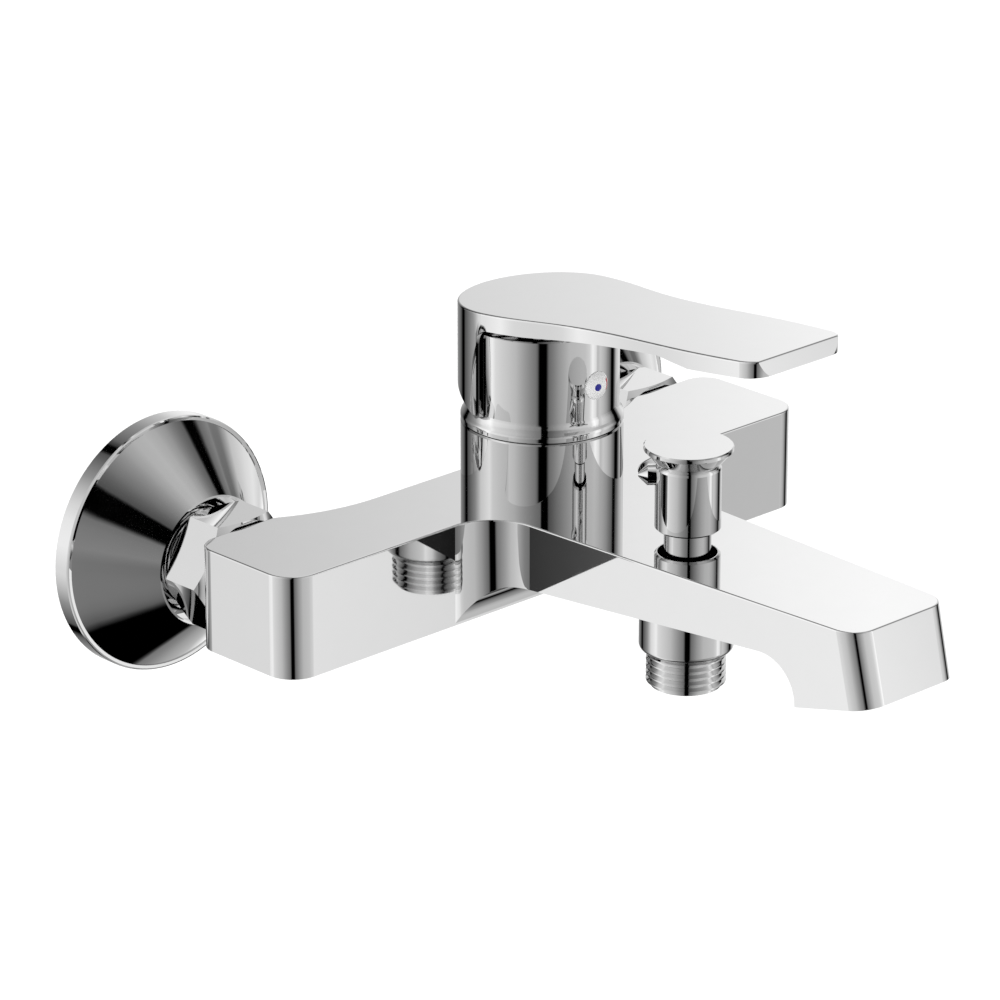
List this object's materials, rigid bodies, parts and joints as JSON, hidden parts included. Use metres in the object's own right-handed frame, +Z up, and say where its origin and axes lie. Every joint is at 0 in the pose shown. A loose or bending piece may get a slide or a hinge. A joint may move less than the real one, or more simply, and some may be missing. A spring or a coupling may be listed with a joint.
{
  "type": "wall mounted bath faucet",
  "caption": "Chrome single-lever bath mixer for wall inlets, with a flat tapering spout, a pull-up diverter and a threaded shower outlet underneath.",
  "frame": {"origin": "on the finished wall face, halfway between the two inlet axes", "axes": "+X to the right for someone facing the wall, +Y into the wall, +Z up; the spout points along -Y"},
  "size_m": [0.2198, 0.2197, 0.1106],
  "materials": {
    "chrome": "polished chrome plate",
    "brass": "machined brass",
    "stainless": "turned stainless steel",
    "rubber": "black nitrile rubber",
    "fibre": "red fibre washer",
    "cartridge_plastic": "moulded grey-white plastic",
    "stem_brass": "machined brass",
    "ceramic": "lapped alumina",
    "plug_white": "glossy moulded plastic",
    "mark_blue": "glossy blue inlay",
    "mark_red": "glossy red inlay",
    "aerator_plastic": "moulded translucent plastic"
  },
  "bodies": {
    "faucet_body": {"mixer_body": "chrome", "escutcheon_left": "chrome", "escutcheon_right": "chrome", "union_nut_left": "chrome", "union_nut_right": "chrome", "cartridge_sleeve": "chrome", "diverter_bush": "chrome", "aerator_housing": "chrome", "shower_outlet_nipple": "chrome", "eccentric_union_left": "chrome", "eccentric_union_right": "chrome", "inlet_nipple_left": "brass", "inlet_nipple_right": "brass", "cartridge_nut": "brass", "cartridge_seals": "rubber", "diverter_rod_o_ring": "rubber", "aerator_seal": "rubber", "union_gasket_left": "fibre", "union_gasket_right": "fibre", "cartridge_base": "cartridge_plastic", "cartridge_case": "cartridge_plastic", "ceramic_disc_fixed": "ceramic", "indicator_plug": "plug_white", "indicator_cold_mark": "mark_blue", "indicator_hot_mark": "mark_red", "aerator_insert": "aerator_plastic"},
    "cartridge_turn": {"cartridge_rotor": "cartridge_plastic", "stem_pivot_pin": "stainless"},
    "lever": {"lever_handle": "chrome", "lever_set_screw": "stainless", "cartridge_stem": "stem_brass"},
    "mixing_disc": {"disc_carrier": "cartridge_plastic", "ceramic_disc_moving": "ceramic"},
    "diverter": {"diverter_knob": "chrome", "diverter_knob_pin": "chrome", "diverter_rod": "stainless", "diverter_valve_disc": "brass", "diverter_lower_seal": "rubber", "diverter_upper_seal": "rubber", "diverter_valve_nut": "brass", "diverter_spring": "stainless"}
  },
  "joints": [
    {"name": "lever_turn", "type": "hinge", "parent": "faucet_body", "child": "cartridge_turn", "pos_m": [0, -0.0687, 0.031], "axis": [0, 0, 1], "range_deg": [-45, 45]},
    {"name": "lever_lift", "type": "hinge", "parent": "cartridge_turn", "child": "lever", "pos_m": [0, -0.0687, 0.031], "axis": [-1, 0, 0], "range_deg": [0, 25]},
    {"name": "disc_slide", "type": "slide", "parent": "cartridge_turn", "child": "mixing_disc", "axis": [0, -1, 0], "range_m": [0, 0.006]},
    {"name": "diverter_pull", "type": "slide", "parent": "faucet_body", "child": "diverter", "axis": [0, 0, 1], "range_m": [0, 0.008], "stiffness_N_per_m": 100, "springref_m": -0.01, "deforming": ["diverter_spring"]}
  ],
  "couplings": [
    {"joint": "disc_slide", "follows": "lever_lift", "m_per_rad": 0.013}
  ]
}
